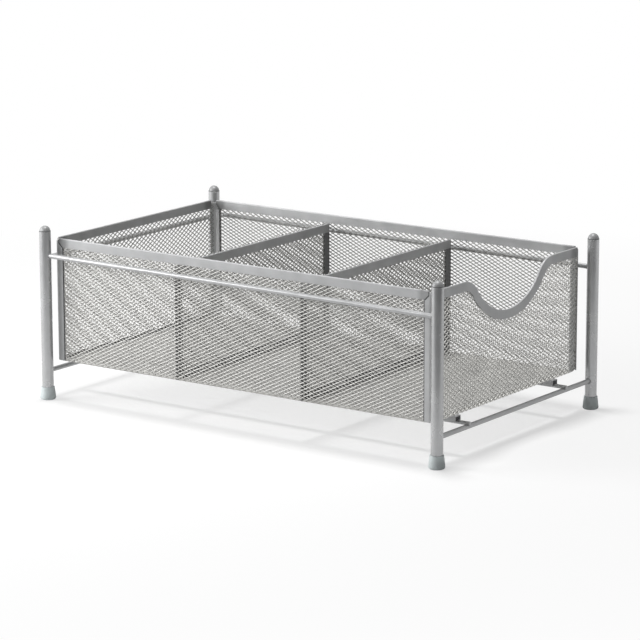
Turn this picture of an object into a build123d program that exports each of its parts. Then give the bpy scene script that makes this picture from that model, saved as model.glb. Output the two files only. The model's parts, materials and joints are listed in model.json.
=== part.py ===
from build123d import *
import math
import os

os.makedirs("parts", exist_ok=True)

# A four-post wire frame that carries one long mesh drawer with two dividers.
# Millimetres, +Z up, origin on the floor under the middle of the four posts.
# The scooped front of the drawer faces -Y, and left is -X.

# Posts, caps and feet
post_spacing_x = 283.0
post_spacing_y = 476.0
post_diameter = 12.0
post_wall = 1.0
post_top_height = 175.0
cap_spigot_length = 14.0
cap_step = 0.4
foot_height = 13.3
foot_base_thickness = 3.0
foot_wall = 0.8
foot_flare = 1.3
foot_edge_radius = 2.2

# Welded rods and slide rails
rod_diameter = 5.0
upper_side_rod_front_drop = 29.0
upper_side_rod_rear_drop = 25.0
upper_rear_rod_drop = 27.5
lower_rod_height = 29.7
rail_diameter = 4.0
rail_inset = 52.8
rail_overhang = 3.2
weld_set = 1.3

# Place of the drawer in the frame
drawer_side_gap = 2.5
drawer_rear_gap = 2.3
drawer_front_setback = 9.7
drawer_height = 128.5

# Mesh sheet, and the folded bands and strips that bind its edges
mesh_thickness = 1.0
hem_skin = 0.7
hem_round = 0.9
band_width = 9.2
corner_radius = 6.0
corner_leaf_width = 4.5
corner_strip_lift = 1.5
corner_bevel_height = 3.5

# Diamond gaps of the nets: the floor has larger cells than the walls
wall_cell_long = 26.0
wall_cell_short = 13.0
floor_cell_long = 40.0
floor_cell_short = 20.0
net_open_share = 0.5

# Scoop in the front wall
scoop_depth = 40.0
scoop_radius = 71.0
scoop_shoulder_radius = 28.0

# Dividers
divider_shares = (1 / 3, 2 / 3)
divider_strip_width = 9.0
divider_drop = 0.3

# Runners under the drawer, and the glide strips that ride on the rails
runner_wall = 0.8
runner_rod_gap = 1.1
runner_end_gap = 1.0
runner_side_gap = 1.7
glide_thickness = 2.9
glide_gap = 0.3

# Overrun of the cutting shapes
cut_overrun = 20.0

# Places worked out from the sizes above
post_radius = post_diameter / 2
bore_radius = post_radius - post_wall
rod_radius = rod_diameter / 2
rail_radius = rail_diameter / 2
half_x = post_spacing_x / 2
half_y = post_spacing_y / 2
foot_top_radius = post_radius + foot_wall
foot_base_radius = foot_top_radius + foot_flare
rail_x = half_x - rail_inset
rail_height = lower_rod_height + rod_radius + rail_radius - weld_set
half_width = half_x - post_radius - drawer_side_gap
front_y = -half_y + drawer_front_setback
rear_y = half_y - rod_radius - drawer_rear_gap
floor_z = rail_height + rail_radius + glide_gap + glide_thickness + runner_wall
floor_top_z = floor_z + mesh_thickness
rim_z = floor_z + drawer_height
band_z = rim_z - band_width
corner_strip_width = corner_radius + corner_leaf_width
divider_top_z = band_z - divider_drop
hem_thickness = mesh_thickness + 2 * hem_skin
mesh_top_z = rim_z - hem_skin
mesh_inset = hem_skin + mesh_thickness
end_reach = half_width - corner_radius
inner_reach = half_width - mesh_inset
runner_reach = rail_radius + runner_side_gap
runner_low_z = lower_rod_height + rod_radius + runner_rod_gap
scoop_turn = math.acos(1 - scoop_depth / (scoop_radius + scoop_shoulder_radius))
scoop_reach = (scoop_radius + scoop_shoulder_radius) * math.sin(scoop_turn)

ON_FLOOR = (Align.CENTER, Align.CENTER, Align.MIN)
BELOW = (Align.CENTER, Align.CENTER, Align.MAX)
SIDES = {"left": -1, "right": 1}
ENDS = {"front": -1, "rear": 1}


def save(name, shape):
    export_step(shape, f"parts/{name}.step")


def block(low, high):
    sizes = [b - a for a, b in zip(low, high)]
    return Pos(*low) * Box(*sizes, align=Align.MIN)


def rod_between(start, end, diameter):
    run = Vector(*end) - Vector(*start)
    return Plane(origin=start, z_dir=run) * Cylinder(diameter / 2, run.length, align=ON_FLOOR)


# Frame

def post():
    length = post_top_height - foot_base_thickness
    rod = Cylinder(post_radius, length, align=ON_FLOOR)
    rod = chamfer(rod.edges().group_by(Axis.Z)[-1], cap_step)
    return rod - Cylinder(bore_radius, length, align=ON_FLOOR)


def post_cap():
    dome = Sphere(post_radius - cap_step, arc_size1=0, align=ON_FLOOR)
    return dome + Cylinder(bore_radius, cap_spigot_length, align=BELOW)


def foot():
    flat_radius = foot_base_radius - foot_edge_radius
    walls = Polyline(
        (foot_base_radius, foot_edge_radius),
        (foot_top_radius, foot_height),
        (post_radius, foot_height),
        (post_radius, foot_base_thickness),
        (0, foot_base_thickness),
        (0, 0),
        (flat_radius, 0),
    )
    edge = CenterArc((flat_radius, foot_edge_radius), foot_edge_radius, -90, 90)
    return revolve(Plane.XZ * make_face([walls, edge]), Axis.Z)


def post_blank(side, end):
    return Pos(side * half_x, end * half_y) * Cylinder(post_radius, post_top_height, align=ON_FLOOR)


def side_rod(side):
    start = (side * half_x, -half_y, post_top_height - upper_side_rod_front_drop)
    finish = (side * half_x, half_y, post_top_height - upper_side_rod_rear_drop)
    return rod_between(start, finish, rod_diameter) - post_blank(side, -1) - post_blank(side, 1)


def cross_rod_blank(end, height):
    return rod_between((-half_x, end * half_y, height), (half_x, end * half_y, height), rod_diameter)


def cross_rod(end, height):
    return cross_rod_blank(end, height) - post_blank(-1, end) - post_blank(1, end)


def slide_rail(side):
    end_y = half_y + rail_overhang
    start = (side * rail_x, -end_y, rail_height)
    rail = rod_between(start, (side * rail_x, end_y, rail_height), rail_diameter)
    for end in ENDS.values():
        rail -= cross_rod_blank(end, lower_rod_height)
    return rail


# Mesh panels: each net is one holed face, its window filled with whole diamonds in staggered rows

def diamonds(low, high, cell_long, cell_short):
    width = high[0] - low[0]
    height = high[1] - low[1]
    columns = round(width / cell_long)
    rows = round(2 * height / cell_short) - 1
    pitch_u = width / columns
    pitch_v = height / (rows + 1)
    reach_u = pitch_u / 2 * math.sqrt(net_open_share)
    reach_v = pitch_v * math.sqrt(net_open_share)
    for row in range(rows):
        v = low[1] + (row + 1) * pitch_v
        for column in range(columns - row % 2):
            u = low[0] + (column + (1 + row % 2) / 2) * pitch_u
            yield [(u - reach_u, v), (u, v - reach_v), (u + reach_u, v), (u, v + reach_v)]


def net(outline, gaps):
    holes = [Wire.make_polygon(corners) for corners in gaps]
    return extrude(Face(outline, holes), mesh_thickness, dir=(0, 0, 1))


def rectangle(low, high):
    return Wire.make_polygon([low, (high[0], low[1]), high, (low[0], high[1])])


def side_plate(side):
    outer = side * (half_width - hem_skin)
    inner = side * inner_reach
    start_y = front_y + corner_radius + hem_skin
    finish_y = rear_y - corner_radius - hem_skin
    return (min(outer, inner), start_y, floor_z), (max(outer, inner), finish_y, mesh_top_z)


def side_net(side):
    low, high = side_plate(side)
    window_low = (front_y + corner_strip_width, floor_top_z)
    window_high = (rear_y - corner_strip_width, band_z)
    gaps = diamonds(window_low, window_high, wall_cell_long, wall_cell_short)
    return Plane.YZ.offset(low[0]) * net(rectangle(low[1:], high[1:]), gaps)


def end_plane(outer_y):
    return Plane(origin=(0, outer_y, 0), x_dir=(1, 0, 0), z_dir=(0, -1, 0))


def rear_net():
    outline = rectangle((-end_reach, floor_z), (end_reach, mesh_top_z))
    gaps = diamonds((-end_reach, floor_top_z), (end_reach, band_z), wall_cell_long, wall_cell_short)
    return end_plane(rear_y - hem_skin) * net(outline, gaps)


def scoop_edge(offset):
    level = rim_z - offset
    shoulder_z = rim_z - scoop_shoulder_radius
    bottom_z = rim_z - scoop_depth + scoop_radius
    turn = math.degrees(scoop_turn)
    return [
        Line((-end_reach, level), (-scoop_reach, level)),
        CenterArc((-scoop_reach, shoulder_z), scoop_shoulder_radius - offset, 90, -turn),
        CenterArc((0, bottom_z), scoop_radius + offset, -90 - turn, 2 * turn),
        CenterArc((scoop_reach, shoulder_z), scoop_shoulder_radius - offset, 90 + turn, -turn),
        Line((scoop_reach, level), (end_reach, level)),
    ]


def scoop_height(x, offset):
    reach = abs(x)
    shoulder = scoop_shoulder_radius - offset
    bottom = scoop_radius + offset
    if reach >= scoop_reach:
        return rim_z - offset
    if reach >= bottom * math.sin(scoop_turn):
        return rim_z - scoop_shoulder_radius + math.sqrt(shoulder**2 - (scoop_reach - reach) ** 2)
    return rim_z - scoop_depth + scoop_radius - math.sqrt(bottom**2 - reach**2)


def front_sheet():
    sides = Polyline(
        (end_reach, mesh_top_z),
        (end_reach, floor_z),
        (-end_reach, floor_z),
        (-end_reach, mesh_top_z),
    )
    outline = make_face([*scoop_edge(hem_skin), sides])
    return extrude(end_plane(front_y + mesh_inset) * outline, mesh_thickness)


def floor_net():
    length = rear_y - front_y - 2 * mesh_inset
    middle_y = (rear_y + front_y) / 2
    outline = RectangleRounded(length, 2 * inner_reach, corner_radius - mesh_inset).wire()
    low = (-length / 2, -inner_reach)
    high = (length / 2, inner_reach)
    lengthwise = Plane(origin=(0, middle_y, floor_z), x_dir=(0, 1, 0), z_dir=(0, 0, 1))
    return lengthwise * net(outline, diamonds(low, high, floor_cell_long, floor_cell_short))


# Folded bands and strips: each has a slot that the mesh edge sits in

def rounded_top(band, along):
    return fillet(band.edges().filter_by(along).group_by(Axis.Z)[-1], hem_round)


def side_band_outline():
    lead_z = band_z + corner_leaf_width
    return Polyline(
        (front_y + corner_strip_width, band_z),
        (front_y + corner_radius, lead_z),
        (front_y + corner_radius, rim_z),
        (rear_y - corner_radius, rim_z),
        (rear_y - corner_radius, lead_z),
        (rear_y - corner_strip_width, band_z),
        close=True,
    )


def side_band_blank(side):
    low_x = min(side * half_width, side * (half_width - hem_thickness))
    return extrude(Plane.YZ.offset(low_x) * make_face(side_band_outline()), hem_thickness)


def side_band(side):
    return rounded_top(side_band_blank(side), Axis.Y) - block(*side_plate(side))


def rear_band():
    blank = block((-end_reach, rear_y - hem_thickness, band_z), (end_reach, rear_y, rim_z))
    slot = block((-end_reach, rear_y - mesh_inset, band_z), (end_reach, rear_y - hem_skin, mesh_top_z))
    return rounded_top(blank, Axis.X) - slot


def front_strip(upper, lower):
    ends = [Line((s * end_reach, rim_z - upper), (s * end_reach, rim_z - lower)) for s in SIDES.values()]
    return make_face([*scoop_edge(upper), *scoop_edge(lower), *ends])


def front_band():
    blank = extrude(end_plane(front_y + hem_thickness) * front_strip(0, band_width), hem_thickness)
    crest = blank.edges().filter_by(Axis.Y, reverse=True)
    crest = crest.filter_by(lambda e: e.center().Z > scoop_height(e.center().X, hem_round))
    slot = extrude(end_plane(front_y + mesh_inset) * front_strip(hem_skin, band_width), mesh_thickness)
    return fillet(crest, hem_round) - slot


def corner_profile():
    centre = (-corner_radius, -corner_radius)
    return make_face(
        [
            Line((0, -corner_strip_width), (0, -corner_radius)),
            CenterArc(centre, corner_radius, 0, 90),
            Line((-corner_radius, 0), (-corner_radius, -hem_thickness)),
            CenterArc(centre, corner_radius - hem_thickness, 90, -90),
            Polyline(
                (-hem_thickness, -corner_radius),
                (-hem_thickness, -corner_strip_width),
                (0, -corner_strip_width),
            ),
        ]
    )


def corner_bevel():
    chord_reach = corner_radius / math.sqrt(2)
    start = chord_reach / math.sqrt(2) - corner_radius
    slope = corner_bevel_height / math.sqrt(2)
    plane = Plane(origin=(start, start, rim_z), z_dir=(slope, slope, corner_radius - chord_reach))
    return plane * Box(cut_overrun, cut_overrun, cut_overrun, align=ON_FLOOR)


def corner_strip(side, end):
    foot_z = floor_z + corner_strip_lift
    strip = Pos(0, 0, foot_z) * extrude(corner_profile(), rim_z - foot_z) - corner_bevel()
    if side < 0:
        strip = mirror(strip, Plane.YZ)
    if end < 0:
        strip = mirror(strip, Plane.XZ)
    corner_y = rear_y if end > 0 else front_y
    strip = Pos(side * half_width, corner_y) * strip
    return strip - side_band_blank(side) - block(*side_plate(side))


# Dividers

def divider(y):
    back = hem_thickness / 2
    core = mesh_thickness / 2
    band_low = divider_top_z - band_width
    plate_reach = inner_reach - hem_skin
    low = (-plate_reach, floor_top_z)
    high = (plate_reach, divider_top_z - hem_skin)
    window_reach = inner_reach - divider_strip_width
    window_high = (window_reach, band_low)
    gaps = diamonds((-window_reach, floor_top_z), window_high, wall_cell_long, wall_cell_short)
    plate = block((low[0], y - core, low[1]), (high[0], y + core, high[1]))
    band = block((-inner_reach, y - back, band_low), (inner_reach, y + back, divider_top_z))
    pieces = {
        "mesh": end_plane(y + core) * net(rectangle(low, high), gaps),
        "top_band": rounded_top(band, Axis.X) - plate,
    }
    for name, side in SIDES.items():
        near = side * (inner_reach - divider_strip_width)
        far = side * inner_reach
        strip = block((min(near, far), y - back, floor_top_z), (max(near, far), y + back, band_low))
        pieces[f"{name}_strip"] = strip - plate
    return pieces


# Runners and glides

def runner(side):
    x = side * rail_x
    reach = runner_reach + runner_wall
    start_y = front_y + runner_end_gap
    finish_y = rear_y - runner_end_gap
    shell = block((x - reach, start_y, runner_low_z), (x + reach, finish_y, floor_z))
    groove_low = (x - runner_reach, front_y, runner_low_z - cut_overrun)
    return shell - block(groove_low, (x + runner_reach, rear_y, floor_z - runner_wall))


def glide(side):
    x = side * rail_x
    top_z = floor_z - runner_wall
    low = (x - runner_reach, front_y + runner_end_gap, top_z - glide_thickness)
    return block(low, (x + runner_reach, rear_y - runner_end_gap, top_z))


for end_name, end in ENDS.items():
    for side_name, side in SIDES.items():
        corner = f"{end_name}_{side_name}"
        axis = Pos(side * half_x, end * half_y)
        save(f"post_{corner}", axis * Pos(0, 0, foot_base_thickness) * post())
        save(f"post_cap_{corner}", axis * Pos(0, 0, post_top_height) * post_cap())
        save(f"foot_{corner}", axis * foot())
        save(f"corner_strip_{corner}", corner_strip(side, end))
    save(f"lower_{end_name}_rod", cross_rod(end, lower_rod_height))
save("upper_rear_rod", cross_rod(1, post_top_height - upper_rear_rod_drop))

for side_name, side in SIDES.items():
    save(f"upper_{side_name}_rod", side_rod(side))
    save(f"slide_rail_{side_name}", slide_rail(side))
    save(f"drawer_mesh_{side_name}", side_net(side))
    save(f"rim_band_{side_name}", side_band(side))
    save(f"runner_{side_name}", runner(side))
    save(f"glide_{side_name}", glide(side))

save("drawer_mesh_floor", floor_net())
save("drawer_mesh_rear", rear_net())
save("drawer_mesh_front", front_sheet())
save("rim_band_rear", rear_band())
save("rim_band_front", front_band())

for end_name, share in zip(ENDS, divider_shares):
    inside_length = rear_y - front_y - 2 * mesh_inset
    divider_y = front_y + mesh_inset + share * inside_length
    for piece_name, piece in divider(divider_y).items():
        save(f"divider_{end_name}_{piece_name}", piece)
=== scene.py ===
import json
import math
import bmesh
import bpy
from mathutils import Matrix, Vector, noise


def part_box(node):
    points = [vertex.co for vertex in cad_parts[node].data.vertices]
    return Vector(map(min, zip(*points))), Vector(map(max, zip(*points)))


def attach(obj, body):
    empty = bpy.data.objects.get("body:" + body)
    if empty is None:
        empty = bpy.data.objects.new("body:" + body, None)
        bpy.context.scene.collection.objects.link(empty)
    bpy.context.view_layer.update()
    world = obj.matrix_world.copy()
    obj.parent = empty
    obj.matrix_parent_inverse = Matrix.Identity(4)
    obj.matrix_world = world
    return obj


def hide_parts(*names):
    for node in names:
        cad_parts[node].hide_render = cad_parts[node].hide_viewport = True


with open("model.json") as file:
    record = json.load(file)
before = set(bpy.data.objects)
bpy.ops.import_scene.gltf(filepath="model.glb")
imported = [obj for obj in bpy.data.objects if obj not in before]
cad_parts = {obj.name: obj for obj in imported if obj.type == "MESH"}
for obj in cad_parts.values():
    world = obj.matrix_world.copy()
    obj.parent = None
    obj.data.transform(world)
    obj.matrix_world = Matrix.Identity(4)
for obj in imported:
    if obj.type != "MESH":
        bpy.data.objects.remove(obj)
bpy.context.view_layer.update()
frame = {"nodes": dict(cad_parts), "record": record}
nodes = frame["nodes"]

MM = 0.001
X, Z = 0, 2
LEFT, RIGHT = -1, 1
FRONT, REAR = -1, 1
SIDES = {"left": LEFT, "right": RIGHT}
ENDS = {"front": FRONT, "rear": REAR}
QUARTER_TURN = math.pi / 2
FULL_TURN = 2 * math.pi
UP = Vector((0, 0, 1))
WHITE = (1, 1, 1)


def box(node):
    """Low and high corner of a CAD node, in mm."""
    low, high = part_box(node)
    return low / MM, high / MM


def middle(node):
    low, high = box(node)
    return (low + high) / 2


def half_size(node, axis):
    low, high = box(node)
    return (high[axis] - low[axis]) / 2


# Places and sizes read from the CAD model, in mm
wall_x = abs(middle("drawer_mesh_left").x)
wall_low, wall_high = box("drawer_mesh_left")
floor_z = middle("drawer_mesh_floor").z
end_y = {end: middle(f"drawer_mesh_{name}").y for name, end in ENDS.items()}
side_x = box("rim_band_right")[1].x
rim_y = {FRONT: box("rim_band_front")[0].y, REAR: box("rim_band_rear")[1].y}
band_z, rim_z = (corner.z for corner in box("rim_band_rear"))
corner_radius = side_x - box("drawer_mesh_front")[1].x
strip_low = box("corner_strip_rear_left")[0]
strip_width = rim_y[REAR] - strip_low.y
strip_foot_z = strip_low.z
post_top = box("post_front_left")[1].z
post_radius = half_size("post_front_left", X)
rod_radius = half_size("lower_front_rod", Z)
rail_radius = half_size("slide_rail_left", X)

# Sizes of the CAD model that its boxes don't tell, in mm
skin = 0.7
corner_bevel = 3.5
scoop_depth, scoop_radius, scoop_shoulder = 40.0, 71.0, 28.0
side_rod_drop = {FRONT: 29.0, REAR: 25.0}


# Mesh helpers

def add_object(name, data):
    thing = bpy.data.objects.new(name, data)
    bpy.context.scene.collection.objects.link(thing)
    return thing


def make_object(name, points, faces, smooth=True):
    mesh = bpy.data.meshes.new(name)
    mesh.from_pydata([Vector(p) * MM for p in points], [], faces)
    shell = bmesh.new()
    shell.from_mesh(mesh)
    bmesh.ops.recalc_face_normals(shell, faces=shell.faces)
    shell.to_mesh(mesh)
    shell.free()
    mesh.polygons.foreach_set("use_smooth", [smooth] * len(faces))
    mesh.update()
    return add_object(name, mesh)


def finish_piece(piece, body, material, slot, *replaced):
    piece.data.materials.append(material)
    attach(piece, body)
    if replaced:
        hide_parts(*replaced)


def turns(count):
    return [FULL_TURN * i / count for i in range(count)]


class Shape:
    """Points and faces of one piece, gathered from several simple sweeps."""

    def __init__(self):
        self.points, self.faces = [], []

    def cover(self, rings, spans):
        """Quads from ring to ring, for the given number of spans."""
        start, count = len(self.points), len(rings[0])
        for ring in rings:
            self.points.extend(ring)
        for r in range(spans):
            near, far = start + r * count, start + (r + 1) % len(rings) * count
            for i in range(count):
                j = (i + 1) % count
                self.faces.append((near + i, near + j, far + j, far + i))

    def sweep(self, rings):
        """A closed body along the rings, with a cap at both ends."""
        start, count = len(self.points), len(rings[0])
        self.cover(rings, len(rings) - 1)
        last = len(self.points) - count
        self.faces.append(tuple(reversed(range(start, start + count))))
        self.faces.append(tuple(range(last, last + count)))

    def ring_sweep(self, rings):
        """A closed body along rings whose last one joins the first."""
        self.cover(rings, len(rings))


# Materials

def new_material(name):
    material = bpy.data.materials.new(name)
    material.use_nodes = True
    tree = material.node_tree
    return material, tree, tree.nodes["Principled BSDF"]


def object_place(tree):
    return tree.nodes.new("ShaderNodeTexCoord").outputs["Object"]


def feed(tree, socket, value):
    """Links another node's output to the socket, or sets the socket's own constant."""
    if isinstance(value, bpy.types.NodeSocket):
        tree.links.new(value, socket)
    else:
        socket.default_value = (*value, 1) if isinstance(value, tuple) else value


def ramp(tree, value, low, high):
    """Ramp between two stops, each a position with a grey level or a colour."""
    node = tree.nodes.new("ShaderNodeValToRGB")
    for element, (position, tone) in zip(node.color_ramp.elements, (low, high)):
        element.position = position
        element.color = (*(tone if isinstance(tone, tuple) else (tone,) * 3), 1)
    feed(tree, node.inputs["Fac"], value)
    return node.outputs["Color"]


def spread(tree, value, low, high, top=0.7):
    """The middle range of a noise, spread between two tones."""
    return ramp(tree, value, (0.3, low), (top, high))


def noise_value(tree, place, scale, detail):
    node = tree.nodes.new("ShaderNodeTexNoise")
    feed(tree, node.inputs["Scale"], scale)
    feed(tree, node.inputs["Detail"], detail)
    feed(tree, node.inputs["Vector"], place)
    return node.outputs["Fac"]


def vector_node(tree, operation, vector):
    node = tree.nodes.new("ShaderNodeVectorMath")
    node.operation = operation
    feed(tree, node.inputs[0], vector)
    return node


def stretched(tree, place, scale):
    node = vector_node(tree, "MULTIPLY", place)
    node.inputs[1].default_value = scale
    return node.outputs["Vector"]


def math_node(tree, operation, *values):
    node = tree.nodes.new("ShaderNodeMath")
    node.operation = operation
    for socket, value in zip(node.inputs, values):
        feed(tree, socket, value)
    return node.outputs[0]


def mix_colour(tree, blend, share, first, second):
    node = tree.nodes.new("ShaderNodeMix")
    node.data_type = "RGBA"
    node.blend_type = blend
    share_socket, first_socket, second_socket = (node.inputs[i] for i in (0, 6, 7))
    feed(tree, share_socket, share)
    feed(tree, first_socket, first)
    feed(tree, second_socket, second)
    return node.outputs[2]


def multiplied(tree, first, second):
    return mix_colour(tree, "MULTIPLY", 1.0, first, second)


def add_bump(tree, shader, height, strength, distance):
    """Bump of the given depth in mm."""
    node = tree.nodes.new("ShaderNodeBump")
    feed(tree, node.inputs["Strength"], strength)
    feed(tree, node.inputs["Distance"], distance * MM)
    feed(tree, node.inputs["Height"], height)
    feed(tree, shader.inputs["Normal"], node.outputs["Normal"])


def toned(colour, factor):
    return tuple(c * factor for c in colour)


# Painted shade on the bands at the drawer's corners: full up to the first distance in mm, gone at
# the second
shade_near, shade_far, shade_span = 14.4, 20.0, 40.0


def shaded_corner_factor(tree, place, tone):
    """Painted shade: the given tone near the drawer's vertical corners, and 1 elsewhere."""
    parts = tree.nodes.new("ShaderNodeSeparateXYZ")
    feed(tree, parts.inputs[0], place)
    middle_y = (rim_y[FRONT] + rim_y[REAR]) / 2 * MM
    half_y = (rim_y[REAR] - rim_y[FRONT]) / 2 * MM
    off_x = math_node(tree, "ABSOLUTE", parts.outputs["X"])
    off_y = math_node(tree, "ABSOLUTE", math_node(tree, "SUBTRACT", parts.outputs["Y"], middle_y))
    from_side = math_node(tree, "SUBTRACT", side_x * MM, off_x)
    from_end = math_node(tree, "SUBTRACT", half_y, off_y)
    reach = math_node(tree, "MAXIMUM", from_side, from_end)
    share = math_node(tree, "MULTIPLY", reach, 1 / (shade_span * MM))
    return ramp(tree, share, (shade_near / shade_span, tone), (shade_far / shade_span, 1.0))


def painted(name, colour, metallic, roughness, streak=None, flake=0.05, painted_corner_shade=0.0):
    """Satin silver paint: fine metal flake, faint clouding and an orange-peel bump.

    A streak scale adds long roll lines, and a painted corner shade darkens the bands near the
    drawer's corners.
    """
    material, tree, shader = new_material(name)
    place = object_place(tree)
    cloud = noise_value(tree, place, scale=45, detail=3)
    grain = noise_value(tree, place, scale=2600, detail=2)
    tint = spread(tree, cloud, low=toned(colour, 0.9), high=toned(colour, 1.07))
    tint = multiplied(tree, tint, spread(tree, grain, low=1 - 2 * flake, high=1.0))
    uneven = cloud
    if streak:
        uneven = noise_value(tree, stretched(tree, place, streak), scale=60, detail=4)
        tint = multiplied(tree, tint, spread(tree, uneven, low=0.9, high=1.0))
    if painted_corner_shade:
        tint = multiplied(tree, tint, shaded_corner_factor(tree, place, 1 - painted_corner_shade))
    rough = spread(tree, uneven, low=roughness - 0.05, high=roughness + 0.07)
    feed(tree, shader.inputs["Base Color"], tint)
    feed(tree, shader.inputs["Metallic"], metallic)
    feed(tree, shader.inputs["Roughness"], rough)
    peel = noise_value(tree, place, scale=900, detail=3)
    add_bump(tree, shader, peel, strength=0.12, distance=0.05)
    return material


def moulded(name, colour, roughness):
    """Matt moulded plastic with a fine grain and slightly paler, scuffed patches."""
    material, tree, shader = new_material(name)
    place = object_place(tree)
    cloud = noise_value(tree, place, scale=120, detail=4)
    grain = noise_value(tree, place, scale=1800, detail=2)
    tint = spread(tree, cloud, low=toned(colour, 0.88), high=toned(colour, 1.1), top=0.72)
    rough = spread(tree, cloud, low=roughness + 0.06, high=roughness - 0.06)
    feed(tree, shader.inputs["Base Color"], tint)
    feed(tree, shader.inputs["Roughness"], rough)
    add_bump(tree, shader, grain, strength=0.25, distance=0.06)
    return material


SILVER = (0.50, 0.505, 0.51)
WARM = (0.535, 0.53, 0.51)
ROLLED_X, ROLLED_Y, ROLLED_Z = (0.04, 1, 1), (1, 0.04, 1), (1, 1, 0.04)
BAND = {"metallic": 0.12, "roughness": 0.42}
DULL = {"metallic": 0.1, "roughness": 0.6}
BRIGHT_MESH = {"metallic": 0.15, "roughness": 0.36, "flake": 0.08}
DULL_MESH = {"metallic": 0.15, "roughness": 0.4, "flake": 0.08}

frame_paint = painted("frame_paint", SILVER, metallic=0.55, roughness=0.24)
# Rods: the frame's own silver, painted a little darker as shade to hold down their light
rod_paint = painted("rod_paint", toned(SILVER, 0.85), metallic=0.4, roughness=0.34)
# Bands: painted shade darkens them near the drawer's corners
side_paint = painted("side_band_paint", SILVER, **BAND, streak=ROLLED_Y, painted_corner_shade=0.35)
end_paint = painted("end_band_paint", SILVER, **BAND, streak=ROLLED_X, painted_corner_shade=0.3)
strip_paint = painted("strip_paint", SILVER, **BAND, streak=ROLLED_Z)
divider_paint = painted("divider_paint", toned(SILVER, 1.15), **BAND, streak=ROLLED_X)
# Divider uprights: the band silver painted dark as shade, since they face away from the lamps
shaded_upright_paint = painted(
    "shaded_upright_paint", toned(SILVER, 0.34), metallic=0.12, roughness=0.45, streak=ROLLED_Z,
)
# Mesh sheets: one warm paint in lit and shaded copies, as painted light and shade: lighter on the
# front wall, darker on the floor, and darker still on the right and rear walls and the dividers
mesh_paint = painted("mesh_paint", WARM, **BRIGHT_MESH)
lit_front_paint = painted("painted_light_front_mesh_paint", toned(WARM, 1.4), **BRIGHT_MESH)
shaded_floor_paint = painted("painted_shade_floor_mesh_paint", toned(WARM, 0.9), **DULL_MESH)
painted_shade_mesh_paint = painted("painted_shade_mesh_paint", toned(WARM, 0.78), **DULL_MESH)
# Binding leaves: the silver painted dark as shade where they sit in shadow, and pale as light
# where they catch it
leaf_paint = painted("leaf_paint", toned(SILVER, 0.42), **DULL)
leaf_light_paint = painted("painted_light_leaf", toned(SILVER, 1.6), **DULL)
# Hems: the silver painted near black as shade
shaded_hem_paint = painted("shaded_hem_paint", toned(SILVER, 0.14), **DULL)
weld_paint = painted("weld_paint", toned(SILVER, 0.6), metallic=0.25, roughness=0.5, flake=0.12)
cap_grey = painted("cap_grey", toned(SILVER, 0.6), metallic=0.15, roughness=0.45)
# Near black: the dark seams under the post caps, and painted shadow in the wall joints
seam_and_gap_shade_dark = moulded("seam_and_gap_shade_dark", (0.05, 0.052, 0.055), roughness=0.7)
foot_grey = moulded("foot_grey", (0.55, 0.6, 0.605), roughness=0.6)
glide_dark = moulded("glide_dark", (0.035, 0.035, 0.04), roughness=0.55)

SLOT_PAINT = {
    "frame_paint": frame_paint, "sheet_paint": divider_paint, "mesh_paint": mesh_paint,
    "cap_grey": cap_grey, "foot_grey": foot_grey, "glide_dark": glide_dark,
}


def node_paint(name, slot):
    if name.startswith(("rim_band_left", "rim_band_right", "runner")):
        return side_paint
    if name.startswith("rim_band"):
        return end_paint
    if name.startswith("slide_rail") or name.endswith("_rod"):
        return rod_paint
    if name.startswith("corner_strip"):
        return strip_paint
    if name.endswith("_strip"):
        return shaded_upright_paint
    return SLOT_PAINT[slot]


for part in frame["record"]["subparts"]:
    name = part["node"]
    nodes[name].data.materials.clear()
    nodes[name].data.materials.append(node_paint(name, part["material_slot"]))


# Expanded-metal sheets: staggered diamond holes between square-edged strands

UV_MARGIN = 0.01
UV_BACK = 0.5

# Size of a hole as a share of its cell, the strands' lean and thickness in mm, and the paint
SHEETS = {
    "left": {"openness": 0.78, "lip": 0.15, "strand": 1.4, "paint": mesh_paint},
    "right": {"openness": 0.82, "lip": -0.2, "strand": 1.0, "paint": painted_shade_mesh_paint},
    "floor": {"openness": 0.72, "lip": 0.15, "strand": 1.4, "paint": shaded_floor_paint},
    "front": {"openness": 0.87, "lip": 0.15, "strand": 0.9, "paint": lit_front_paint},
    "rear": {"openness": 0.83, "lip": -0.12, "strand": 0.8, "paint": painted_shade_mesh_paint},
    "divider": {"openness": 0.8, "lip": -0.1, "strand": 0.8, "paint": painted_shade_mesh_paint},
}


def everywhere(u, v):
    return True


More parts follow.
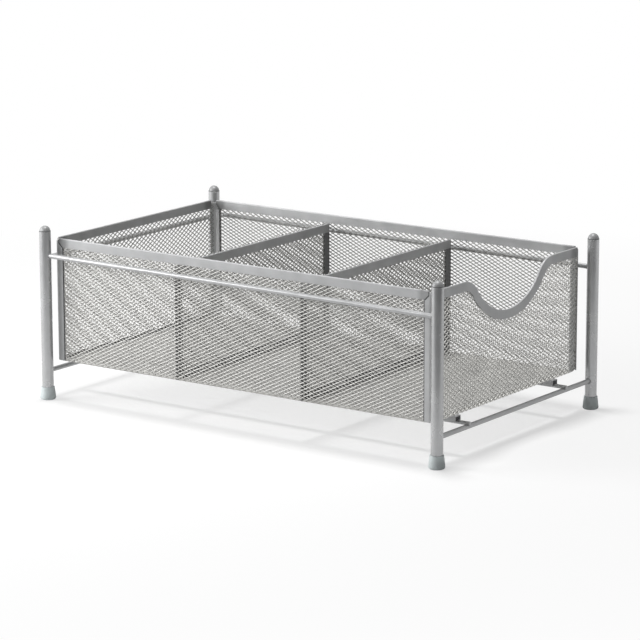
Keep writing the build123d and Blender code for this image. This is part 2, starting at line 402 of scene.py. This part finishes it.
def expanded(name, node, place, span_u, span_v, pitch, openness, lip, strand, paint,
             keep=everywhere):
    """A closed sheet of diamond cells, one per spot of the spans that is kept.

    place gives the point at (u, v) on the sheet and w out of it. Each hole's top corner stands
    out of the sheet by the lip, and its bottom corner stands in by as much.
    """
    pitch_u, pitch_v = pitch
    step_u, step_v = pitch_u / 2, pitch_v / 2
    middle_u = (span_u[0] + span_u[1]) / 2
    half_columns = math.ceil((span_u[1] - span_u[0]) / pitch_u)
    rows = math.ceil((span_v[1] - span_v[0]) / step_v) + 1
    points, faces, edges, maps, bonds = [], [], [], [], {}

    def spot(a, b):
        return middle_u + a * step_u, span_v[0] + b * step_v

    def add(u, v, w):
        points.append(place(u, v, w))
        maps.append((u, v))
        return len(points) - 1

    def pair(u, v, w):
        return add(u, v, w + strand / 2), add(u, v, w - strand / 2)

    def bond(a, b):
        """Front and back point where the corners of neighbouring cells meet."""
        if (a, b) not in bonds:
            bonds[a, b] = pair(*spot(a, b), 0)
        return bonds[a, b]

    tiles = []
    for row in range(rows):
        for column in range(-half_columns, half_columns + 1):
            a = 2 * column + row % 2
            u, v = spot(a, row)
            if span_u[0] <= u <= span_u[1] and span_v[0] <= v <= span_v[1] and keep(u, v):
                tiles.append((a, row))
    kept = set(tiles)
    reach_u, reach_v = openness * step_u, openness * step_v
    corners = ((reach_u, 0, 0), (0, reach_v, lip), (-reach_u, 0, 0), (0, -reach_v, -lip))
    neighbours = ((1, 1), (-1, 1), (-1, -1), (1, -1))
    for a, row in tiles:
        u, v = spot(a, row)
        outer = [bond(a + 1, row), bond(a, row + 1), bond(a - 1, row), bond(a, row - 1)]
        inner = [pair(u + du, v + dv, lean) for du, dv, lean in corners]
        for i, (across, along) in enumerate(neighbours):
            j = (i + 1) % 4
            faces.append((outer[i][0], outer[j][0], inner[j][0], inner[i][0]))
            faces.append((inner[i][0], inner[j][0], inner[j][1], inner[i][1]))
            faces.append((outer[j][1], outer[i][1], inner[i][1], inner[j][1]))
            if (a + across, row + along) not in kept:
                edges.append((outer[j][0], outer[i][0], outer[i][1], outer[j][1]))
    piece = make_object(name, points, faces + edges, smooth=False)

    # The front of the sheet is mapped to the lower half of the picture, its back to the upper half
    low_u, low_v = min(m[0] for m in maps), min(m[1] for m in maps)
    size_u = max(m[0] for m in maps) - low_u
    size_v = max(m[1] for m in maps) - low_v
    layer = piece.data.uv_layers.new(name="OFBake")
    for polygon in piece.data.polygons:
        is_back = polygon.index < len(faces) and polygon.index % 3 == 2
        for corner in polygon.loop_indices:
            u, v = maps[piece.data.loops[corner].vertex_index]
            share_u = UV_MARGIN + (1 - 2 * UV_MARGIN) * (u - low_u) / size_u
            share_v = UV_MARGIN + (UV_BACK - 2 * UV_MARGIN) * (v - low_v) / size_v
            layer.data[corner].uv = (share_u, share_v + (UV_BACK if is_back else 0))
    finish_piece(piece, "drawer", paint, "mesh_paint", node)


# Floor and long walls: one tray, bent up along both sides
bend = 5.0
flat_reach = wall_x - bend
bend_run = bend * QUARTER_TURN
wall_run = wall_high.z - floor_z - bend
tray_reach = flat_reach + bend_run + wall_run - skin
wall_margin = 0.5
floor_margin = 6.75
cell = (7.48, 3.70)


def tray_place(u, v, w):
    """u runs along the drawer, v from its middle line out over the floor and up a wall."""
    side, reach = math.copysign(1, v), abs(v)
    if reach <= flat_reach:
        return v, u, floor_z - w
    turn = min((reach - flat_reach) / bend, QUARTER_TURN)
    rise = max(reach - flat_reach - bend_run, 0)
    out_x, out_z = math.sin(turn), -math.cos(turn)
    return (
        side * (flat_reach + bend * math.sin(turn) + out_x * w),
        u,
        floor_z + bend * (1 - math.cos(turn)) + rise + out_z * w,
    )


for side_name, side in SIDES.items():
    expanded(
        f"mesh_{side_name}", f"drawer_mesh_{side_name}",
        lambda u, v, w, side=side: tray_place(u, side * v, w),
        (wall_low.y + wall_margin, wall_high.y - wall_margin), (flat_reach, tray_reach), cell,
        **SHEETS[side_name],
    )
expanded(
    "mesh_floor", "drawer_mesh_floor", tray_place,
    (end_y[FRONT] + floor_margin, end_y[REAR] - floor_margin), (-flat_reach, flat_reach), cell,
    **SHEETS["floor"],
)


# End sheets: they turn round the vertical corners, and in over the floor at their foot
end_bend = 4.0
end_bend_run = end_bend * QUARTER_TURN
end_tuck = 3.0
end_top = rim_z - skin - floor_z - end_bend + end_bend_run
end_cell = (7.3, 4.75)
binding_gap = 0.3
turn_radius = corner_radius - skin - binding_gap
flat_end = side_x - corner_radius
end_wrap = math.radians(50)
wrap_reach = flat_end + turn_radius * end_wrap
wrap_foot_z = strip_foot_z + 2
scoop_margin = 4.6


def scoop_height(x, offset):
    """Height of the scooped rim at x, set in by the offset."""
    reach = abs(x)
    turn = math.acos(1 - scoop_depth / (scoop_radius + scoop_shoulder))
    scoop_reach = (scoop_radius + scoop_shoulder) * math.sin(turn)
    shoulder, bottom = scoop_shoulder - offset, scoop_radius + offset
    if reach >= scoop_reach:
        return rim_z - offset
    if reach >= bottom * math.sin(turn):
        return rim_z - scoop_shoulder + math.sqrt(shoulder**2 - (scoop_reach - reach) ** 2)
    return rim_z - scoop_depth + scoop_radius - math.sqrt(bottom**2 - reach**2)


def end_place(end, u, v, w):
    """u runs across the drawer and round its corners, v up from where the sheet bends up."""
    side, reach = math.copysign(1, u), abs(u)
    turn = min(max(reach - flat_end, 0) / turn_radius, QUARTER_TURN)
    along = min(reach, flat_end) + turn_radius * math.sin(turn)
    depth = turn_radius * (1 - math.cos(turn))
    out_x, out_y = math.sin(turn), math.cos(turn)
    upright = min(max(v, 0) / end_bend, QUARTER_TURN)
    lean, fall = math.sin(upright), math.cos(upright)
    inward = end_bend * (1 - lean) + max(-v, 0)
    height = end_bend * (1 - fall)
    rise = max(v - end_bend_run, 0)
    return (
        side * (along + out_x * lean * w),
        end_y[end] + end * (out_y * lean * w - depth - inward),
        floor_z + height + rise - fall * w,
    )


def end_kept(end, u, v):
    """Whether the end sheet is there: not at a corner's foot, nor in the front's scoop."""
    height = floor_z + v + end_bend - end_bend_run
    if abs(u) > flat_end and height < wrap_foot_z:
        return False
    return end == REAR or height <= scoop_height(u, scoop_margin)


for end_name, end in ENDS.items():
    expanded(
        f"mesh_{end_name}", f"drawer_mesh_{end_name}",
        lambda u, v, w, end=end: end_place(end, u, v, w),
        (-wrap_reach, wrap_reach), (-end_tuck, end_top), end_cell,
        **SHEETS[end_name], keep=lambda u, v, end=end: end_kept(end, u, v),
    )


# Dividers
divider_lift = 0.6
for end_name in ENDS:
    low, high = box(f"divider_{end_name}_mesh")
    y = (low.y + high.y) / 2
    expanded(
        f"divider_net_{end_name}", f"divider_{end_name}_mesh",
        lambda u, v, w, y=y: (u, y - w, v),
        (low.x, high.x), (low.z + divider_lift, high.z), end_cell, **SHEETS["divider"],
    )


# Corner bindings. Each has an outer leaf round the corner and an inner leaf on the inside of the
# long wall's mesh. At the front the inner leaf runs on round the corner, behind the end sheet.
outer_depth, inner_depth = 0.0, 2.3
inner_run = 15.6
cover_turn = math.radians(55)
path_steps = 18
curve_gap, run_gap = 1e-3, 0.05
leaf_edge = 0.25
leaf_shares = (0.3, 0.7)
inward_least = 0.5
under_band_z = band_z - 0.5
end_crest_z = band_z - 0.3
TOLERANCE = 1e-6


def binding_path(turn_end, run, depth):
    """Plan points from the long wall round the corner, as distances in from side and end."""
    points = [(depth, strip_width), (depth, corner_radius + curve_gap)]
    radius = corner_radius - depth
    if turn_end:
        for i in range(path_steps + 1):
            turn = turn_end * i / path_steps
            points.append((
                corner_radius - radius * math.cos(turn), corner_radius - radius * math.sin(turn),
            ))
    if run:
        points += [(corner_radius + run_gap, depth), (run, depth)]
    return points


def crest(plan):
    """Top of an outer leaf: mitred under the side band, and bevelled on the rounded corner."""
    from_side, from_end = plan
    if from_end > corner_radius + TOLERANCE:
        return band_z + strip_width - from_end
    if from_side > corner_radius + TOLERANCE:
        return end_crest_z
    out = (2 * corner_radius - from_side - from_end) / math.sqrt(2)
    chord = corner_radius / math.sqrt(2)
    return rim_z - corner_bevel * max(0, out - chord) / (corner_radius - chord)


def under_bands(plan):
    return under_band_z


def strip_foot(plan):
    return strip_foot_z


def covered_foot(plan):
    """Foot of the front outer leaf, which covers only the corner's side share below the bands."""
    turn = math.atan2(corner_radius - plan[1], corner_radius - plan[0])
    return under_band_z if turn > cover_turn + TOLERANCE else strip_foot_z


def leaf(shape, side, end, turn_end, run, depth, top, foot):
    outer = binding_path(turn_end, run, depth)
    inner = binding_path(turn_end, run, depth + skin)

    def at(plan, z):
        return side * (side_x - plan[0]), rim_y[end] - end * plan[1], z

    rings = []
    for out, into in zip(outer, inner):
        near, far = ([o + (i - o) * share for o, i in zip(out, into)] for share in leaf_shares)
        high, low = min(top(out), top(into)), foot(out)
        rings.append([
            at(out, low + leaf_edge), at(out, high - leaf_edge), at(near, high), at(far, high),
            at(into, high - leaf_edge), at(into, low + leaf_edge), at(far, low), at(near, low),
        ])
    shape.sweep(rings)


for end_name, end in ENDS.items():
    for side_name, side in SIDES.items():
        shape = Shape()
        outer_foot = covered_foot if end == FRONT else strip_foot
        leaf(shape, side, end, QUARTER_TURN, 0, outer_depth, crest, outer_foot)
        outer_count = len(shape.faces)
        turn_end, run = (QUARTER_TURN, inner_run) if end == FRONT else (0, 0)
        leaf(shape, side, end, turn_end, run, inner_depth, under_bands, strip_foot)
        corner_name = f"{end_name}_{side_name}"
        piece = make_object(f"binding_{corner_name}", shape.points, shape.faces, smooth=False)
        finish_piece(piece, "drawer", strip_paint, "sheet_paint", f"corner_strip_{corner_name}")

        # Second paint: painted shade on the front left's inner leaf; painted light on the front
        # right's inner leaf, and at the rear on the outer leaf's inner side
        shaded_leaf = end == FRONT and side == LEFT
        piece.data.materials.append(leaf_paint if shaded_leaf else leaf_light_paint)
        inward = Vector((-side, -end, 0))
        for polygon in piece.data.polygons:
            if end == FRONT:
                polygon.material_index = int(polygon.index >= outer_count)
            elif polygon.index < outer_count and polygon.normal.dot(inward) > inward_least:
                polygon.material_index = 1


# Folded hems where the dividers and the rear wall stand on the floor sheet, painted near black as
# the shade along their feet
hem_half, hem_edge = 1.2, 0.4
divider_hem_levels = ((0.8, 3.6), (5.8, 8.4))
rear_hem_levels = ((0.8, 4.4),)
divider_hem_reach = wall_x - 2.5
rear_hem_y = end_y[REAR] - 2.6


def hem(name, y, reach, levels):
    """One flat bar across the drawer for each pair of heights over the floor sheet."""
    half, edge = hem_half, hem_edge
    shape = Shape()
    for low, high in levels:
        low, high = floor_z + low, floor_z + high
        profile = [
            (-half, low + edge), (-half, high - edge), (-half + edge, high), (half - edge, high),
            (half, high - edge), (half, low + edge), (half - edge, low), (-half + edge, low),
        ]
        shape.sweep([[(x, y + dy, z) for dy, z in profile] for x in (-reach, reach)])
    piece = make_object(name, shape.points, shape.faces, smooth=False)
    finish_piece(piece, "drawer", shaded_hem_paint, "sheet_paint")


for end_name in ENDS:
    divider_y = middle(f"divider_{end_name}_mesh").y
    hem(f"divider_hem_{end_name}", divider_y, divider_hem_reach, divider_hem_levels)
hem("rear_hem", rear_hem_y, flat_end, rear_hem_levels)


# Weld beads where rods meet posts, and where the rails cross the lower rods
bead_radius, bead_lump, bead_lump_scale = 0.75, 0.35, 1.7
bead_turns, bead_sides = 28, 8
crossing_radius, crossing_lump, crossing_lump_scale = 0.8, 0.25, 3
crossing_steps, crossing_sides = 8, 10
crossing_half, crossing_sink, crossing_inset = 2.2, 0.1, 0.4
end_swell = 0.35
upper_seed, rear_seed = 20, 40


def post_bead(shape, post, direction, seed):
    """An uneven ring round a rod's end, set on the post's round side."""
    across = Vector((-direction.y, direction.x, 0))
    rings = []
    for turn in turns(bead_turns):
        spot = Vector((math.cos(turn) * bead_lump_scale, math.sin(turn) * bead_lump_scale, seed))
        radius = bead_radius * (1 + bead_lump * noise.noise(spot))
        offset = across * math.sin(turn) + UP * math.cos(turn)
        side = rod_radius * math.sin(turn)
        foot = post + direction * math.sqrt(post_radius**2 - side**2) + offset * rod_radius
        rings.append([
            foot + direction * radius * math.cos(angle) + offset * radius * math.sin(angle)
            for angle in turns(bead_sides)
        ])
    shape.ring_sweep(rings)


def crossing_bead(shape, start, finish, seed):
    """A lumpy bead along the foot of a crossing, thin at both ends."""
    run = finish - start
    along = run.normalized()
    across = along.cross(UP).normalized()
    up = across.cross(along)
    rings = []
    for i in range(crossing_steps + 1):
        share = i / crossing_steps
        lump = noise.noise(Vector((share * crossing_lump_scale, seed, 0)))
        swell = crossing_radius * (end_swell + (1 - end_swell) * math.sin(math.pi * share))
        swell *= 1 + crossing_lump * lump
        centre = start + run * share
        rings.append([
            centre + across * swell * math.cos(angle) + up * swell * math.sin(angle)
            for angle in turns(crossing_sides)
        ])
    shape.sweep(rings)


beads = Shape()
for end_name, end in ENDS.items():
    for side_name, side in SIDES.items():
        axis = middle(f"post_{end_name}_{side_name}")
        seed = 3 * side + end
        lower_z = middle(f"lower_{end_name}_rod").z
        upper_z = post_top - side_rod_drop[end]
        inward_x, inward_y = Vector((-side, 0, 0)), Vector((0, -end, 0))
        post_bead(beads, Vector((axis.x, axis.y, lower_z)), inward_x, seed)
        post_bead(beads, Vector((axis.x, axis.y, upper_z)), inward_y, seed + upper_seed)
        if end == REAR:
            rear_z = middle("upper_rear_rod").z
            post_bead(beads, Vector((axis.x, axis.y, rear_z)), inward_x, seed + rear_seed)
        rail_x = middle(f"slide_rail_{side_name}").x
        level = lower_z + rod_radius - crossing_sink
        for flank in (-1, 1):
            x = rail_x + flank * (rail_radius - crossing_inset)
            start = Vector((x, axis.y - crossing_half, level))
            finish = Vector((x, axis.y + crossing_half, level))
            crossing_bead(beads, start, finish, seed + flank)
weld = make_object("weld_beads", beads.points, beads.faces)
finish_piece(weld, "frame", weld_paint, "frame_paint")


# Dark seams between the posts' tubes and their caps
seam_radius, seam_thick = post_radius - 0.4, 0.35
seam_turns, seam_sides = 48, 8
cap_seams = Shape()
for end_name in ENDS:
    for side_name in SIDES:
        axis = middle(f"post_{end_name}_{side_name}")
        rings = []
        for turn in turns(seam_turns):
            out = Vector((math.cos(turn), math.sin(turn), 0))
            centre = Vector((axis.x, axis.y, post_top)) + out * seam_radius
            rings.append([
                centre + seam_thick * (out * math.cos(angle) + UP * math.sin(angle))
                for angle in turns(seam_sides)
            ])
        cap_seams.ring_sweep(rings)
seam_rings = make_object("cap_seams", cap_seams.points, cap_seams.faces)
finish_piece(seam_rings, "frame", seam_and_gap_shade_dark, "cap_grey")


# Joint lines on the long walls, painted near black as the shadow in their gaps: along the mitre
# between band and binding, and down the binding's edge. The profiles are distances out of the wall
# and across the line.
mitre_profile = ((-0.3, 0.5), (0.08, 0.4), (0.08, -0.4), (-0.3, -0.5))
edge_profile = ((-0.2, -0.5), (-0.2, 0.5), (-0.6, 0.6), (-0.6, -0.6))
mitre_overrun, mitre_top_gap = 0.1, 0.9
edge_offset, edge_foot_gap = 0.35, 1.0
mitre_rise = strip_width - corner_radius
seams = Shape()
for side in SIDES.values():
    for end in ENDS.values():
        x, corner_y = side * side_x, rim_y[end]
        turn_y = corner_y - end * corner_radius
        edge_y = corner_y - end * (strip_width + edge_offset)
        mitre = [
            (corner_y - end * (strip_width + mitre_overrun), band_z - mitre_overrun),
            (turn_y, band_z + mitre_rise),
            (turn_y, rim_z - mitre_top_gap),
        ]
        seams.sweep([
            [(x + side * out, y - end * across, z + across) for out, across in mitre_profile]
            for y, z in mitre
        ])
        seams.sweep([
            [(x + side * out, edge_y - end * across, z) for out, across in edge_profile]
            for z in (strip_foot_z + edge_foot_gap, band_z)
        ])
gap_shadow_lines = make_object("gap_shadow_lines", seams.points, seams.faces, smooth=False)
finish_piece(gap_shadow_lines, "drawer", seam_and_gap_shade_dark, "sheet_paint")


# Stage: floor, light and camera, in metres
floor_reach = 20.0
floor_grey = (0.86, 0.86, 0.86)
glow_near, glow_far, glow_span = 0.3, 1.0, 2.0
glow_share_near, glow_share_far = 0.6, 1.0
room_way = (-0.815, -0.579, 0)
room_start, room_full, room_tone = 0.42, 0.62, 0.1
ambient_strength = 0.08


def seen_directly(tree):
    """1 for camera, glossy and transmission rays, 0 for the light that falls on the object."""
    path = tree.nodes.new("ShaderNodeLightPath").outputs
    shine = math_node(tree, "MAXIMUM", path["Is Glossy Ray"], path["Is Transmission Ray"])
    return math_node(tree, "MAXIMUM", path["Is Camera Ray"], shine)


def mix_to_output(tree, share, first, second, output_type):
    blend = tree.nodes.new("ShaderNodeMixShader")
    output = tree.nodes.new(output_type)
    for socket, value in zip(blend.inputs, (share, first, second)):
        feed(tree, socket, value)
    feed(tree, output.inputs["Surface"], blend.outputs["Shader"])


floor_mesh = bpy.data.meshes.new("floor")
floor_corners = ((-1, -1), (1, -1), (1, 1), (-1, 1))
floor_mesh.from_pydata(
    [(x * floor_reach, y * floor_reach, 0) for x, y in floor_corners], [], [(0, 1, 2, 3)],
)
floor = add_object("floor", floor_mesh)
floor_material = bpy.data.materials.new("floor")
floor_material.use_nodes = True
tree = floor_material.node_tree
tree.nodes.clear()
diffuse = tree.nodes.new("ShaderNodeBsdfDiffuse")
feed(tree, diffuse.inputs["Color"], floor_grey)

# Seen by the camera or in metal, the floor glows white, a little less round the object. In metal,
# the part well in front of the near long side is dark, as the room behind a photographer is.
place = object_place(tree)
distance = vector_node(tree, "LENGTH", place).outputs["Value"]
own_glow = ramp(
    tree, math_node(tree, "MULTIPLY", distance, 1 / glow_span),
    (glow_near / glow_span, glow_share_near), (glow_far / glow_span, glow_share_far),
)
toward = vector_node(tree, "DOT_PRODUCT", place)
toward.inputs[1].default_value = room_way
room = ramp(tree, toward.outputs["Value"], (room_start, 1.0), (room_full, room_tone))
in_metal = tree.nodes.new("ShaderNodeLightPath").outputs["Is Glossy Ray"]
glow = tree.nodes.new("ShaderNodeEmission")
feed(tree, glow.inputs["Strength"], 1.0)
feed(tree, glow.inputs["Color"], mix_colour(tree, "MIX", in_metal, WHITE, room))
mix_to_output(
    tree, math_node(tree, "MULTIPLY", seen_directly(tree), own_glow),
    diffuse.outputs["BSDF"], glow.outputs["Emission"], "ShaderNodeOutputMaterial",
)
floor_mesh.materials.append(floor_material)

# A white backdrop that lights the object only faintly
world = bpy.data.worlds.new("studio")
bpy.context.scene.world = world
world.use_nodes = True
tree = world.node_tree
tree.nodes.clear()
ambient = tree.nodes.new("ShaderNodeBackground")
feed(tree, ambient.inputs["Color"], WHITE)
feed(tree, ambient.inputs["Strength"], ambient_strength)
backdrop = tree.nodes.new("ShaderNodeBackground")
feed(tree, backdrop.inputs["Color"], WHITE)
mix_to_output(
    tree, seen_directly(tree),
    ambient.outputs["Background"], backdrop.outputs["Background"], "ShaderNodeOutputWorld",
)


def lamp(name, place, aim, size, power):
    data = bpy.data.lights.new(name, "AREA")
    data.shape = "RECTANGLE"
    data.size, data.size_y = size
    data.energy = power
    light = add_object(name, data)
    light.location = place
    light.rotation_euler = (Vector(aim) - Vector(place)).to_track_quat("-Z", "Y").to_euler()
    light.visible_camera = False


lamp("key", place=(-0.85, 1.15, 0.55), aim=(-0.1, 0.05, 0.1), size=(0.9, 0.8), power=21)
lamp("top", place=(0.06, 0.17, 2.4), aim=(0, 0, 0), size=(0.4, 0.4), power=48)

# Camera fitted to the photograph
camera_data = bpy.data.cameras.new("camera")
camera_data.sensor_width = 36
camera_data.lens = 177.907
camera_data.clip_end = 100
camera = add_object("camera", camera_data)
camera_right = Vector((0.578706850, -0.815534200, -0.001533522))
camera_up = Vector((0.177361955, 0.124021041, 0.976299912))
camera_back = Vector((-0.796015778, -0.565263435, 0.216416566))
camera_place = Vector((-2.5467356, -1.8116585, 0.7799978))
camera_axes = zip(camera_right, camera_up, camera_back, camera_place)
camera.matrix_world = Matrix([*camera_axes, (0, 0, 0, 1)])
bpy.context.scene.camera = camera
bpy.context.scene.view_settings.view_transform = "Standard"
